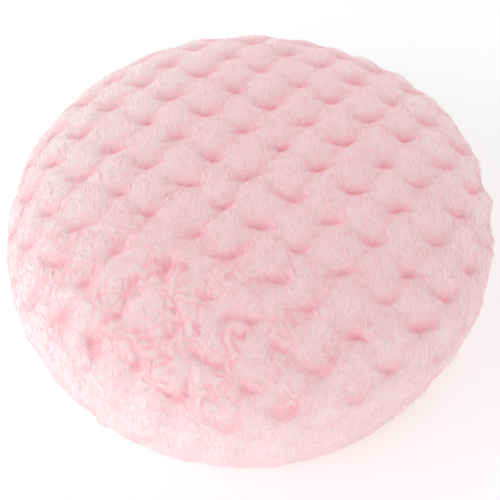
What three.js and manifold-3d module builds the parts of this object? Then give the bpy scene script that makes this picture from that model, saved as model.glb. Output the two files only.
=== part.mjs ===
// Powder puff: an embossed plush dome over a foam pad, closed at the back with satin and held by a ribbon strap.
// Units are millimetres, +Z is up, and the origin is the centre of the face that the puff rests on.

import * as THREE from 'three';
import { mergeVertices } from 'three/addons/utils/BufferGeometryUtils.js';
import Module from 'manifold-3d';

const wasm = await Module();
wasm.setup();

// Overall form, over the tips of the pile
const PUFF_DIAMETER = 90;
const CROWN_HEIGHT = 16.3; // from the widest line up to the top
const SKIRT_HEIGHT = 14.5; // from the resting face up to the widest line
const CROWN_FULLNESS = 2.86; // superellipse exponent: 2 is an ellipse, more is fuller
const SKIRT_FULLNESS = 2.2;
const SKIRT_TUCK = 7; // how far the skirt draws in below the widest line, down to the resting ring

// Plush cloth
const PLUSH_THICKNESS = 7; // ground cloth and pile together
const RIM_WIDTH = 14; // from the widest line in to the mouth, the opening that the satin closes
const LIP_RADIUS = 3; // rounding of the pile where it turns in to the mouth

// Embossing of the pile: staggered rows of dimples that leave a pillow between each four
const PITCH_ACROSS = 11.7; // between dimples of one row
const PITCH_ALONG = 10.6; // between rows that stand in line
const EMBOSS_TURN_DEGREES = 8.3;
const EMBOSS_SHIFT_ACROSS = 5.5;
const EMBOSS_SHIFT_ALONG = -5.2;
const DIMPLE_DEPTH = 3.2;
const DIMPLE_WIDTH = 5; // across, at its open top
const DIMPLE_LENGTH = 3.8;
const CREASE_DEPTH = 0.5; // of the pillows' edges below their middles
const EMBOSS_MARGIN = 5; // nearest that the middle of a dimple or pillow comes to the widest line
const EMBOSS_FADE = 8; // band above the widest line where the dimples die out
const PLAIN_BAND = 1.2; // cloth left plain above the widest line

// Satin back, its stiffening board and the foam pad
const SATIN_THICKNESS = 0.6;
const SEAM_ALLOWANCE = 4; // satin that lies inside, beyond the mouth
const HEM_WIDTH = 2.5; // doubled edge of the satin
const BOARD_THICKNESS = 1.2;
const BOARD_OVERLAP = 1; // of the board beyond the mouth

// Ribbon strap, sewn down at both ends and bowed between them for the fingers
const RIBBON_WIDTH = 22;
const RIBBON_THICKNESS = 0.5;
const RIBBON_MARGIN = 1.8; // from the ribbon's corners to the mouth
const RIBBON_BOW = 5; // how far the middle stands off the satin
const RIBBON_RISE = 8; // length of the bend at each end of the bow
const RIBBON_SEWN = 5; // flat length under each tack

// Sewing thread
const THREAD_DIAMETER = 0.5;
const SEAM_STITCH_LENGTH = 4;
const SEAM_STITCH_SWING = 0.4; // how far the thread swings to each side of the seam line
const TACK_ZIGZAGS = 8;
const TACK_MARGIN = 2.5; // from the tack to each edge of the ribbon
const TACK_WIDTH = 2.6; // across the zigzag, measured between thread centres

const FIT_GAP = 0.3; // clearance between neighbouring pieces

// Fineness of the facets
const ROUND_SEGMENTS = 36;
const CROWN_STEPS = 4;
const SKIRT_STEPS = 3;
const LIP_STEPS = 2;
const BEND_STEPS = 6;
const THREAD_SIDES = 5;
const STEPS_PER_STITCH = 4;
const MERGE_DISTANCE = 1e-4;

// Heights and radii that follow from the sizes above
const PUFF_RADIUS = PUFF_DIAMETER / 2;
const REST_RADIUS = PUFF_RADIUS - SKIRT_TUCK;
const MOUTH_RADIUS = PUFF_RADIUS - RIM_WIDTH;
const PUFF_HEIGHT = SKIRT_HEIGHT + CROWN_HEIGHT;
const SATIN_BOTTOM = PLUSH_THICKNESS + FIT_GAP;
const BOARD_BOTTOM = SATIN_BOTTOM + 2 * SATIN_THICKNESS + FIT_GAP;
const PAD_BOTTOM = BOARD_BOTTOM + BOARD_THICKNESS + FIT_GAP;
const RIBBON_TOP = SATIN_BOTTOM - FIT_GAP;
const RIBBON_END = Math.sqrt((MOUTH_RADIUS - RIBBON_MARGIN) ** 2 - (RIBBON_WIDTH / 2) ** 2);
const QUARTER_TURN = Math.PI / 2;

// Solids and geometries

// A closed geometry as a solid: only positions are kept, and coincident corners become one.
function toSolid(geometry) {
  const bare = geometry.clone();
  bare.deleteAttribute('normal');
  bare.deleteAttribute('uv');
  const merged = mergeVertices(bare, MERGE_DISTANCE);
  const corners = [];
  for (let i = 0; i < merged.index.count; i += 3) {
    const [a, b, c] = [0, 1, 2].map((k) => merged.index.getX(i + k));
    if (a !== b && b !== c && c !== a) corners.push(a, b, c);
  }
  return new wasm.Manifold(
    new wasm.Mesh({
      numProp: 3,
      vertProperties: merged.getAttribute('position').array,
      triVerts: new Uint32Array(corners),
    }),
  );
}

function toGeometry(solid) {
  const mesh = solid.getMesh();
  const geometry = new THREE.BufferGeometry();
  geometry.setAttribute('position', new THREE.BufferAttribute(mesh.vertProperties, 3));
  geometry.setIndex(new THREE.BufferAttribute(mesh.triVerts, 1));
  geometry.computeVertexNormals();
  return geometry;
}

// A profile of (radius, height) points turned round the Z axis, listed from the bottom to the top.
function revolve(profile) {
  return new THREE.LatheGeometry(profile, ROUND_SEGMENTS).rotateX(QUARTER_TURN);
}

function disc(radius, bottom, thickness) {
  return revolve([
    new THREE.Vector2(0, bottom),
    new THREE.Vector2(radius, bottom),
    new THREE.Vector2(radius, bottom + thickness),
    new THREE.Vector2(0, bottom + thickness),
  ]);
}

// Meridian of the puff

// The crown at a height angle from 0, the widest line, to a quarter turn, the top.
function crownPoint(angle, inset) {
  const power = 2 / CROWN_FULLNESS;
  const radius = (PUFF_RADIUS - inset) * Math.max(Math.cos(angle), 0) ** power;
  const height = SKIRT_HEIGHT + (CROWN_HEIGHT - inset) * Math.sin(angle) ** power;
  return new THREE.Vector2(angle < QUARTER_TURN ? radius : 0, height);
}

// The skirt at a height above the resting face, up to the widest line.
function skirtPoint(height, inset) {
  const drop = Math.min(Math.max(1 - height / SKIRT_HEIGHT, 0), 1) ** SKIRT_FULLNESS;
  const swell = (1 - drop) ** (1 / SKIRT_FULLNESS);
  return new THREE.Vector2(REST_RADIUS + (PUFF_RADIUS - REST_RADIUS) * swell - inset, height);
}

// The skirt from a given height up to the widest line, with its steps bunched at the bottom, where it curves most.
function skirtPoints(bottom, inset, steps) {
  return Array.from({ length: steps + 1 }, (_, i) => {
    return skirtPoint(bottom + (SKIRT_HEIGHT - bottom) * (i / steps) ** 2, inset);
  });
}

// Outline of a pad that fills the puff to a given inset, from its flat bottom to the top.
function padProfile(bottom, inset) {
  const points = [new THREE.Vector2(0, bottom), ...skirtPoints(bottom, inset, 1)];
  for (let i = 1; i <= CROWN_STEPS; i++) {
    points.push(crownPoint((QUARTER_TURN * i) / CROWN_STEPS, inset));
  }
  return points;
}

// Plush cover

// Positions and outward normals along the crown, found by their distance along the cloth from the top.
function crownByDistance() {
  const samples = 240;
  const points = [];
  for (let i = 0; i <= samples; i++) points.push(crownPoint(QUARTER_TURN * (1 - i / samples), 0));
  const along = [0];
  for (let i = 1; i <= samples; i++) along.push(along[i - 1] + points[i].distanceTo(points[i - 1]));
  const at = (distance) => {
    const after = Math.max(1, along.findIndex((d) => d >= distance));
    const share = (distance - along[after - 1]) / (along[after] - along[after - 1]);
    const run = points[after].clone().sub(points[after - 1]).normalize();
    const point = points[after - 1].clone().lerp(points[after], share);
    return { point, normal: new THREE.Vector2(-run.y, run.x) };
  };
  return { at, length: along[samples] };
}

// A closed skin that is built from shared points and three-cornered facets, seen counterclockwise from outside.
class Skin {
  points = [];
  facets = [];

  add(x, y, z) {
    return this.points.push(new THREE.Vector3(x, y, z)) - 1;
  }

  direction(index) {
    const { x, y } = this.points[index];
    return new THREE.Vector2(x, y).angle();
  }

  ring({ x: radius, y: height }) {
    return Array.from({ length: ROUND_SEGMENTS }, (_, k) => {
      const angle = (2 * Math.PI * k) / ROUND_SEGMENTS;
      return this.add(radius * Math.cos(angle), radius * Math.sin(angle), height);
    });
  }

  // Joins two closed rows of points that run round the axis, each time by the shorter of the two next edges.
  band(upper, lower) {
    const at = (row, k) => row[k % row.length];
    const span = (a, b) => this.points[a].distanceTo(this.points[b]);
    let [i, j] = [0, 0];
    while (i < upper.length || j < lower.length) {
      const [a, b, nextA, nextB] = [at(upper, i), at(lower, j), at(upper, i + 1), at(lower, j + 1)];
      const stepUpper = j === lower.length || (i < upper.length && span(nextA, b) <= span(a, nextB));
      this.facets.push([a, b, stepUpper ? nextA : nextB]);
      if (stepUpper) i++;
      else j++;
    }
  }

  geometry() {
    const geometry = new THREE.BufferGeometry().setFromPoints(this.points);
    return geometry.setIndex(this.facets.flat());
  }
}

// The embossed crown: a chequer of four-cornered dimples and eight-cornered pillows. Returns the row of points along
// its edge, starting at the least direction.
function embossCrown(skin) {
  const crown = crownByDistance();
  const turn = THREE.MathUtils.degToRad(EMBOSS_TURN_DEGREES);
  const shift = new THREE.Vector2(EMBOSS_SHIFT_ACROSS, EMBOSS_SHIFT_ALONG);
  const [halfAcross, halfAlong] = [PITCH_ACROSS / 2, PITCH_ALONG / 2];
  const [w, l] = [DIMPLE_WIDTH / 2, DIMPLE_LENGTH / 2];
  const [outX, outY] = [halfAcross - w, halfAlong - l];
  const dimpleRim = [[-w, -l], [w, -l], [w, l], [-w, l]];
  const pillowRim = [[-outX, -l], [-w, -outY], [w, -outY], [outX, -l], [outX, l], [w, outY], [-w, outY], [-outX, l]];

  // A place on the flat cloth, laid over the crown and pressed in by a depth. Each place makes one point.
  const known = new Map();
  const point = (across, along, depth) => {
    const key = [across, along].map((d) => Math.round(d / MERGE_DISTANCE)).join();
    if (!known.has(key)) {
      const flat = new THREE.Vector2(across, along).add(shift);
      const direction = flat.angle() + turn;
      const distance = Math.min(flat.length(), crown.length - PLAIN_BAND);
      const { point: place, normal } = crown.at(distance);
      const fade = THREE.MathUtils.smoothstep(crown.length - distance, PLAIN_BAND, EMBOSS_FADE);
      place.addScaledVector(normal, -depth * fade);
      known.set(key, skin.add(place.x * Math.cos(direction), place.x * Math.sin(direction), place.y));
    }
    return known.get(key);
  };

  // Edges that only one cell has used so far
  const open = new Map();
  const cell = (across, along, depth, rim) => {
    const middle = point(across, along, depth);
    const corners = rim.map(([x, y]) => point(across + x, along + y, CREASE_DEPTH));
    corners.forEach((corner, k) => {
      const next = corners[(k + 1) % rim.length];
      skin.facets.push([corner, next, middle]);
      if (!open.delete(`${next},${corner}`)) open.set(`${corner},${next}`, [corner, next]);
    });
  };
  const reach = crown.length + shift.length();
  const columns = Math.ceil(reach / halfAcross);
  const rows = Math.ceil(reach / halfAlong);
  for (let i = -columns; i <= columns; i++) {
    for (let j = -rows; j <= rows; j++) {
      const middle = new THREE.Vector2(i * halfAcross, j * halfAlong);
      if (middle.clone().add(shift).length() > crown.length - EMBOSS_MARGIN) continue;
      if ((i + j) % 2) cell(middle.x, middle.y, 0, pillowRim);
      else cell(middle.x, middle.y, DIMPLE_DEPTH, dimpleRim);
    }
  }

  const follow = new Map(open.values());
  const first = [...follow.keys()].reduce((a, b) => (skin.direction(b) < skin.direction(a) ? b : a));
  const edge = [first];
  while (edge.length < follow.size) edge.push(follow.get(edge.at(-1)));
  return edge;
}

// The outside of the puff: the embossed crown, the plain skirt below it and a flat bottom.
function outsideSkin() {
  const skin = new Skin();
  const edge = embossCrown(skin);
  const rings = skirtPoints(0, 0, SKIRT_STEPS).reverse().map((place) => skin.ring(place));
  [edge, ...rings.slice(0, -1)].forEach((upper, k) => skin.band(upper, rings[k]));
  const bottom = rings.at(-1);
  const middle = skin.add(0, 0, 0);
  bottom.forEach((corner, k) => skin.facets.push([middle, bottom[(k + 1) % bottom.length], corner]));
  return skin.geometry();
}

// The hole through which the pad goes in: straight inside, and flared by the rounded lip at the resting face.
function mouthProfile() {
  const top = PLUSH_THICKNESS + FIT_GAP;
  const points = [new THREE.Vector2(0, -LIP_RADIUS), new THREE.Vector2(MOUTH_RADIUS + LIP_RADIUS, -LIP_RADIUS)];
  for (let i = 0; i <= LIP_STEPS; i++) {
    const angle = (QUARTER_TURN * i) / LIP_STEPS;
    const radius = MOUTH_RADIUS + LIP_RADIUS * (1 - Math.sin(angle));
    points.push(new THREE.Vector2(radius, LIP_RADIUS * (1 - Math.cos(angle))));
  }
  points.push(new THREE.Vector2(MOUTH_RADIUS, top), new THREE.Vector2(0, top));
  return points;
}

function plushCover() {
  const outside = toSolid(outsideSkin());
  const hollow = toSolid(revolve(padProfile(PLUSH_THICKNESS, PLUSH_THICKNESS)));
  const mouth = toSolid(revolve(mouthProfile()));
  return toGeometry(outside.subtract(hollow).subtract(mouth));
}

// Back and filling

// A thin disc of satin whose edge is turned in and doubled.
function satinBack() {
  const edge = MOUTH_RADIUS + SEAM_ALLOWANCE;
  const top = SATIN_BOTTOM + SATIN_THICKNESS;
  const hemTop = SATIN_BOTTOM + 2 * SATIN_THICKNESS;
  return revolve([
    new THREE.Vector2(0, SATIN_BOTTOM),
    new THREE.Vector2(edge, SATIN_BOTTOM),
    new THREE.Vector2(edge, hemTop),
    new THREE.Vector2(edge - HEM_WIDTH, hemTop),
    new THREE.Vector2(edge - HEM_WIDTH, top),
    new THREE.Vector2(0, top),
  ]);
}

// The ribbon's side outline, flat at the sewn ends and bowed away from the satin between them.
function ribbonStrap() {
  const end = RIBBON_END;
  const bend = end - RIBBON_SEWN;
  const level = bend - RIBBON_RISE;
  const ease = RIBBON_RISE / 2;
  const outline = new THREE.Shape();
  const bowed = (top) => top - RIBBON_BOW;
  const topSide = RIBBON_TOP;
  const underSide = RIBBON_TOP - RIBBON_THICKNESS;
  outline.moveTo(-end, underSide);
  outline.lineTo(-bend, underSide);
  outline.bezierCurveTo(-bend + ease, underSide, -level - ease, bowed(underSide), -level, bowed(underSide));
  outline.lineTo(level, bowed(underSide));
  outline.bezierCurveTo(level + ease, bowed(underSide), bend - ease, underSide, bend, underSide);
  outline.lineTo(end, underSide);
  outline.lineTo(end, topSide);
  outline.lineTo(bend, topSide);
  outline.bezierCurveTo(bend - ease, topSide, level + ease, bowed(topSide), level, bowed(topSide));
  outline.lineTo(-level, bowed(topSide));
  outline.bezierCurveTo(-level - ease, bowed(topSide), -bend + ease, topSide, -bend, topSide);
  outline.lineTo(-end, topSide);
  const strip = new THREE.ExtrudeGeometry(outline, {
    depth: RIBBON_WIDTH,
    bevelEnabled: false,
    curveSegments: BEND_STEPS,
  });
  return strip.rotateX(QUARTER_TURN).translate(0, RIBBON_WIDTH / 2, 0);
}

// Sewing

// The seam thread lies in the corner between the satin and the mouth of the plush, swinging from one to the other.
class SeamLine extends THREE.Curve {
  constructor(radius, height, stitches) {
    super();
    Object.assign(this, { radius, height, stitches });
  }

  getPoint(t, target = new THREE.Vector3()) {
    const angle = 2 * Math.PI * t;
    const swing = SEAM_STITCH_SWING * Math.cos(this.stitches * angle);
    const radius = this.radius + swing;
    return target.set(radius * Math.cos(angle), radius * Math.sin(angle), this.height);
  }
}

function seamThread() {
  const radius = MOUTH_RADIUS - FIT_GAP - SEAM_STITCH_SWING - THREAD_DIAMETER / 2;
  const height = SATIN_BOTTOM - FIT_GAP - THREAD_DIAMETER / 2;
  const stitches = Math.round((2 * Math.PI * radius) / SEAM_STITCH_LENGTH);
  const line = new SeamLine(radius, height, stitches);
  const steps = stitches * STEPS_PER_STITCH;
  return new THREE.TubeGeometry(line, steps, THREAD_DIAMETER / 2, THREAD_SIDES, true);
}

// A bar tack: one thread that zigzags across the sewn end of the ribbon, on its outer face.
function barTack(side) {
  const length = RIBBON_WIDTH - 2 * TACK_MARGIN;
  const middle = side * (RIBBON_END - RIBBON_SEWN / 2);
  const height = RIBBON_TOP - RIBBON_THICKNESS - FIT_GAP - THREAD_DIAMETER / 2;
  const points = [];
  for (let i = 0; i <= 2 * TACK_ZIGZAGS; i++) {
    const swing = i % 2 ? TACK_WIDTH / 2 : -TACK_WIDTH / 2;
    points.push(new THREE.Vector3(middle + swing, length * (i / (2 * TACK_ZIGZAGS) - 0.5), height));
  }
  const section = new THREE.Shape();
  for (let i = 0; i < THREAD_SIDES; i++) {
    const angle = (2 * Math.PI * i) / THREAD_SIDES;
    const [x, y] = [Math.cos(angle), Math.sin(angle)].map((k) => (k * THREAD_DIAMETER) / 2);
    if (i) section.lineTo(x, y);
    else section.moveTo(x, y);
  }
  return new THREE.ExtrudeGeometry(section, {
    steps: 2 * TACK_ZIGZAGS * STEPS_PER_STITCH,
    bevelEnabled: false,
    extrudePath: new THREE.CatmullRomCurve3(points),
  });
}

// Finishes, in the puff's pinks
const plushFinish = new THREE.MeshStandardMaterial({ color: 0xf4d2d6, roughness: 0.95, metalness: 0 });
const satinFinish = new THREE.MeshStandardMaterial({ color: 0xf3c3ca, roughness: 0.45, metalness: 0 });
const ribbonFinish = new THREE.MeshStandardMaterial({ color: 0xf0b4bf, roughness: 0.4, metalness: 0 });
const threadFinish = new THREE.MeshStandardMaterial({ color: 0xeeb9c1, roughness: 0.6, metalness: 0 });
const boardFinish = new THREE.MeshStandardMaterial({ color: 0xd9d2c4, roughness: 0.85, metalness: 0 });
const foamFinish = new THREE.MeshStandardMaterial({ color: 0xf6f1e6, roughness: 0.9, metalness: 0 });

const puff = new THREE.Group();
function add(name, geometry, finish) {
  const mesh = new THREE.Mesh(geometry, finish);
  mesh.name = name;
  puff.add(mesh);
}

add('plush_cover', plushCover(), plushFinish);
add('foam_pad', revolve(padProfile(PAD_BOTTOM, PLUSH_THICKNESS + FIT_GAP)), foamFinish);
add('backing_board', disc(MOUTH_RADIUS + BOARD_OVERLAP, BOARD_BOTTOM, BOARD_THICKNESS), boardFinish);
add('satin_back', satinBack(), satinFinish);
add('ribbon_strap', ribbonStrap(), ribbonFinish);
add('seam_thread', seamThread(), threadFinish);
add('strap_tack_left', barTack(-1), threadFinish);
add('strap_tack_right', barTack(1), threadFinish);

export default puff;
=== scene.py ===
"""Pale-pink embossed powder puff: a plush dome with a satin back and a ribbon strap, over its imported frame.

Sizes are in millimetres and angles in radians, unless a comment says otherwise. The scene is in metres.
"""

import logging
import math
from dataclasses import dataclass, field
from enum import Enum
from itertools import product
from typing import NamedTuple

import bmesh
import bpy
import numpy as np
from mathutils import Matrix, Vector


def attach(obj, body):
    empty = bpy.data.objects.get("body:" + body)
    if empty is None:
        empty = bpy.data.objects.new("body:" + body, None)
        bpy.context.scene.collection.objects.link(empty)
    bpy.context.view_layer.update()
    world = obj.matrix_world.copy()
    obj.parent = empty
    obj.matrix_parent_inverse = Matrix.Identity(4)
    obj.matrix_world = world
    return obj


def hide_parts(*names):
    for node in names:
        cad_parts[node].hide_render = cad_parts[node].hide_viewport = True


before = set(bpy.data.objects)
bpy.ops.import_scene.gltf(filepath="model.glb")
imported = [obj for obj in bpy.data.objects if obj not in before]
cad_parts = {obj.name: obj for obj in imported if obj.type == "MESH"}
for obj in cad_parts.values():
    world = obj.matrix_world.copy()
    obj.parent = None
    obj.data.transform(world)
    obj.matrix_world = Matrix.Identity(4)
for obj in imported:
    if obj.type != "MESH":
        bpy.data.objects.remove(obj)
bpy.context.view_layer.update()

LOG = logging.getLogger("powder_puff")
MM = 0.001
BODY = "root"
PALETTE_MAP = "OFBake"
# the ground keeps its painted shade, deeper in dimples, creases and gaps, in this attribute
PAINTED_SHADE = "pile_painted_shade"
WHITE = "#ffffff"
QUARTER_TURN = math.pi / 2
GOLDEN_ANGLE = math.pi * (3 - math.sqrt(5))
TINY = 1e-9  # keeps a division from meeting zero
SAME_PLACE = 1e-7  # metres within which two vertices are one
MIX_A, MIX_B, MIX_RESULT = 6, 7, 2  # colour sockets of a Mix node, whose names its other types share

Array = np.ndarray
Span = tuple[float, float]
Tree = bpy.types.NodeTree
Socket = bpy.types.NodeSocket
Inputs = dict[str | int, object]
Piece = bpy.types.Object


class Slot(Enum):
    """Names of the record's material slots, which nothing in this script uses."""

    PLUSH = "plush"
    FOAM = "foam"
    SATIN = "satin"
    RIBBON = "ribbon"
    THREAD = "thread"


class Zone(Enum):
    """Parts of the plush that carry their own piece of pile."""

    FRONT_LEFT = "plush_pile_front_left"
    FRONT_RIGHT = "plush_pile_front_right"
    BACK_LEFT = "plush_pile_back_left"
    BACK_RIGHT = "plush_pile_back_right"
    RIM_LEFT = "plush_pile_rim_left"
    RIM_RIGHT = "plush_pile_rim_right"
    UNDERSIDE = "plush_pile_underside"


# Shared helpers


def linear(colour: str) -> tuple[float, float, float, float]:
    """Turn an sRGB hex colour into linear red, green, blue and alpha.

    Args:
        colour: Six hex digits after a hash sign.

    Returns:
        The four linear channels.
    """
    channels = [int(colour[i:i + 2], 16) / 255 for i in (1, 3, 5)]
    red, green, blue = (c / 12.92 if c <= 0.04045 else ((c + 0.055) / 1.055) ** 2.4 for c in channels)
    return red, green, blue, 1.0


def node(tree: Tree, kind: str, inputs: Inputs | None = None, **settings: object) -> bpy.types.Node:
    """Add a node with its settings, and link or set its inputs.

    Args:
        tree: The node tree that gets the node.
        kind: The node's type name, after ShaderNode.
        inputs: Sockets to link, by name or number, or the values to set on them.
        settings: Attributes to set; stops lists a colour ramp's (place, hex colour) pairs.

    Returns:
        The new node.
    """
    made = tree.nodes.new("ShaderNode" + kind)
    stops = settings.pop("stops", None)
    if stops:
        elements = made.color_ramp.elements
        elements[0].position, elements[1].position = stops[0][0], stops[-1][0]
        for place, _ in stops[1:-1]:
            elements.new(place)
        for element, (_, colour) in zip(elements, stops):
            element.color = linear(colour)
    for name, value in settings.items():
        setattr(made, name, value)
    for key, value in (inputs or {}).items():
        if isinstance(value, Socket):
            tree.links.new(value, made.inputs[key])
        else:
            made.inputs[key].default_value = value
    return made


def new_piece(name: str, data: bpy.types.ID) -> Piece:
    """Put a mesh or curve into the scene as a piece of this name, at the origin.

    Args:
        name: The piece's name.
        data: Its mesh or curve.

    Returns:
        The piece.
    """
    piece = bpy.data.objects.new(name, data)
    bpy.context.scene.collection.objects.link(piece)
    return piece


def from_bmesh(name: str, bm: bmesh.types.BMesh) -> Piece:
    """Close a bmesh into a smooth-shaded piece.

    Args:
        name: The piece's name.
        bm: Its shape, which is used up.

    Returns:
        The piece.
    """
    mesh = bpy.data.meshes.new(name)
    bm.to_mesh(mesh)
    bm.free()
    mesh.shade_smooth()
    return new_piece(name, mesh)


def baked(piece: Piece) -> Piece:
    """Apply a piece's modifiers, or turn its curve into a mesh, and keep its name.

    Args:
        piece: The piece, which is used up.

    Returns:
        The piece as a plain mesh.
    """
    depsgraph = bpy.context.evaluated_depsgraph_get()
    mesh = bpy.data.meshes.new_from_object(piece.evaluated_get(depsgraph))
    name, old = piece.name, piece.data
    bpy.data.objects.remove(piece)
    if isinstance(old, bpy.types.Curve):
        bpy.data.curves.remove(old)
    mesh.name = name
    return new_piece(name, mesh)


def turned(name: str, profile: Array, steps: int, layer: str = "", values: Array | None = None) -> Piece:
    """Spin a profile a full turn round Z.

    Args:
        name: The piece's name.
        profile: Points of (radius, height) from the axis outwards and, for a closed body, back to the axis.
        steps: Segments round the axis.
        layer: Name of a vertex layer that keeps a number for each profile point, if there is one.
        values: The numbers of that layer.

    Returns:
        The piece.
    """
    bm = bmesh.new()
    numbers = bm.verts.layers.float.new(layer) if layer else None
    verts = []
    for k, (radius, height) in enumerate(profile):
        vert = bm.verts.new((radius * MM, 0.0, height * MM))
        if numbers is not None:
            vert[numbers] = values[k]
        verts.append(vert)
    edges = [bm.edges.new(pair) for pair in zip(verts, verts[1:])]
    bmesh.ops.spin(
        bm, geom=verts + edges, cent=(0, 0, 0), axis=(0, 0, 1), dvec=(0, 0, 0),
        angle=math.tau, steps=steps, use_merge=True, use_duplicate=False,
    )
    bmesh.ops.remove_doubles(bm, verts=bm.verts[:], dist=SAME_PLACE)
    bmesh.ops.recalc_face_normals(bm, faces=bm.faces[:])
    return from_bmesh(name, bm)


def thickened(cloth: Piece, thickness: float) -> Piece:
    """Give a cloth its thickness, half to each side.

    Args:
        cloth: The cloth as a surface, which is used up.
        thickness: How thick it is.

    Returns:
        The cloth as a closed body.
    """
    solidify = cloth.modifiers.new("cloth thickness", "SOLIDIFY")
    solidify.thickness = thickness * MM
    solidify.offset = 0.0
    return baked(cloth)


def coordinates(mesh: bpy.types.Mesh) -> Array:
    """Read a mesh's vertices.

    Args:
        mesh: The mesh, in metres.

    Returns:
        Their places in millimetres, one row each.
    """
    flat = np.empty(len(mesh.vertices) * 3)
    mesh.vertices.foreach_get("co", flat)
    return flat.reshape(-1, 3) / MM


def set_coordinates(mesh: bpy.types.Mesh, places: Array) -> None:
    """Move a mesh's vertices to an array of places in millimetres."""
    mesh.vertices.foreach_set("co", (places * MM).ravel())
    mesh.update()


def smoothstep(value: Array, start: float, end: float) -> Array:
    """Ease from 0 at start to 1 at end."""
    share = np.clip((value - start) / (end - start), 0.0, 1.0)
    return share * share * (3.0 - 2.0 * share)


def bell(value: Array, width: Array | float) -> Array:
    """Fall off from 1 to both sides of 0, over about this width."""
    return np.exp(-((value / width) ** 2))


def between(ends: Span, share: Array) -> Array:
    """Go from one end to the other by a share from 0 to 1."""
    return ends[0] + (ends[1] - ends[0]) * share


def off_heading(angle: Array, heading: float) -> Array:
    """How far angles are from a heading, from minus to plus half a turn."""
    return np.angle(np.exp(1j * (angle - heading)))


def unit(vectors: Array) -> Array:
    """Scale each row to a length of 1."""
    return vectors / np.maximum(np.linalg.norm(vectors, axis=1, keepdims=True), TINY)


def travelled(path: Array) -> Array:
    """Distance gone along a path at each of its points."""
    return np.concatenate(([0.0], np.cumsum(np.linalg.norm(np.diff(path, axis=0), axis=1))))


def ripple(x: Array, y: Array, wavelength: float, seed: int, waves: int = 7) -> Array:
    """Smooth seeded unevenness over a plane, about -1 to 1.

    Args:
        x: Places across.
        y: Places along.
        wavelength: About how far apart its bumps are.
        seed: Which pattern it is.
        waves: How many sine waves are added.

    Returns:
        The unevenness at each place.
    """
    draw = np.random.default_rng(seed)
    total = np.zeros_like(x)
    shortest, longest = 0.75, 1.35
    for _ in range(waves):
        heading, phase = draw.uniform(0, math.tau, 2)
        number = math.tau / (wavelength * draw.uniform(shortest, longest))
        total += np.sin(number * (x * math.cos(heading) + y * math.sin(heading)) + phase)
    return total / math.sqrt(waves)


def scatter(i: Array, j: Array, seed: int) -> Array:
    """A repeatable number from 0 to 1 for each pair of whole numbers, by the usual sine hash."""
    hashed = np.sin(i * 127.1 + j * 311.7 + seed * 74.7) * 43758.5453
    return hashed - np.floor(hashed)


class Tuft(NamedTuple):
    """The tuft of pile that each place belongs to."""

    x: Array  # its middle, across
    y: Array  # its middle, along
    one: Array  # two numbers from 0 to 1 that vary from tuft to tuft
    two: Array
    inside: Array  # how far inside its tuft the place is


def tufts(x: Array, y: Array, across: float, along: float, seed: int) -> Tuft:
    """Find the tuft of pile that each place belongs to.

    Args:
        x: Places across the flat cloth.
        y: Places along it.
        across: Width of the tufts.
        along: Length of the tufts.
        seed: Which pattern of tufts.

    Returns:
        Each place's tuft.
    """
    u, v = x / across, y / along
    best, second = np.full(x.shape, np.inf), np.full(x.shape, np.inf)
    middle_u, middle_v, one, two = (np.zeros_like(x) for _ in range(4))
    for di, dj in product((-1, 0, 1), repeat=2):
        i, j = np.floor(u) + di, np.floor(v) + dj
        here_u, here_v = i + scatter(i, j, seed), j + scatter(i, j, seed + 1)
        gap = (u - here_u) ** 2 + (v - here_v) ** 2
        near = gap < best
        second = np.minimum(second, np.maximum(gap, best))
        best = np.minimum(best, gap)
        middle_u, middle_v = np.where(near, here_u, middle_u), np.where(near, here_v, middle_v)
        one = np.where(near, scatter(i, j, seed + 2), one)
        two = np.where(near, scatter(i, j, seed + 3), two)
    return Tuft(middle_u * across, middle_v * along, one, two, np.sqrt(second) - np.sqrt(best))


# Finishes


@dataclass(frozen=True)
class Finish:
    """A finish: the name of its material, and the nodes that its own class adds."""

    name: str

    def inputs(self, tree: Tree) -> Inputs:
        """Add the finish's own nodes to a tree, and return the inputs of its shader."""
        raise NotImplementedError

    def material(self) -> bpy.types.Material:
        """Build the material.

        Returns:
            The material, with one shader.
        """
        material = bpy.data.materials.new(self.name)
        material.use_nodes = True
        tree = material.node_tree
        tree.nodes.clear()
        shader = node(tree, "BsdfPrincipled", self.inputs(tree))
        node(tree, "OutputMaterial", {"Surface": shader.outputs[0]})
        return material


@dataclass(frozen=True)
class PlushPile(Finish):
    """Polyester plush pile: fine matt fibres that glow at grazing angles, deeper pink towards their roots as
    painted shade between the fibres and partly as their own colour.
    """

    name: str = "polyester_plush_pile"
    tip: str = "#fff8f9"
    body: str = "#fee5e9"
    shade: str = "#fed3d9"
    # the deepest colour of the palette is painted shade in the dimples, creases and gaps between tufts
    dimple_shade: str = "#ffbbc3"
    body_depth: float = 0.3
    shade_depth: float = 0.62
    root_shade_share: float = 0.2
    root_start: float = 0.15
    root_end: float = 0.85

    def inputs(self, tree: Tree) -> Inputs:
        """Read a palette of depth across, and of root to tip along each fibre: depth across carries painted
        shade and painted light besides the pile's own uneven colour, and the roots get painted shade.

        Args:
            tree: The material's nodes.

        Returns:
            The shader's inputs.
        """
        palette = node(tree, "UVMap", uv_map=PALETTE_MAP)
        place = node(tree, "SeparateXYZ", {0: palette.outputs["UV"]})
        depth = node(tree, "ValToRGB", {0: place.outputs["X"]}, stops=[
            (0.0, self.tip), (self.body_depth, self.body), (self.shade_depth, self.shade), (1.0, self.dimple_shade),
        ])
        # painted shade between the fibres, partly their own colour: the roots go over to the shade colour
        root = node(tree, "MapRange", {
            "Value": place.outputs["Y"], "From Min": self.root_start, "From Max": self.root_end,
            "To Min": self.root_shade_share, "To Max": 0.0,
        }, interpolation_type="SMOOTHSTEP")
        colour = node(tree, "Mix", {
            "Factor": root.outputs[0], MIX_A: depth.outputs["Color"], MIX_B: linear(self.shade),
        }, data_type="RGBA")
        return {
            "Base Color": colour.outputs[MIX_RESULT], "Roughness": 0.95, "Specular IOR Level": 0.15,
            "Sheen Weight": 0.5, "Sheen Roughness": 0.5, "Sheen Tint": linear(self.tip),
        }


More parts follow.
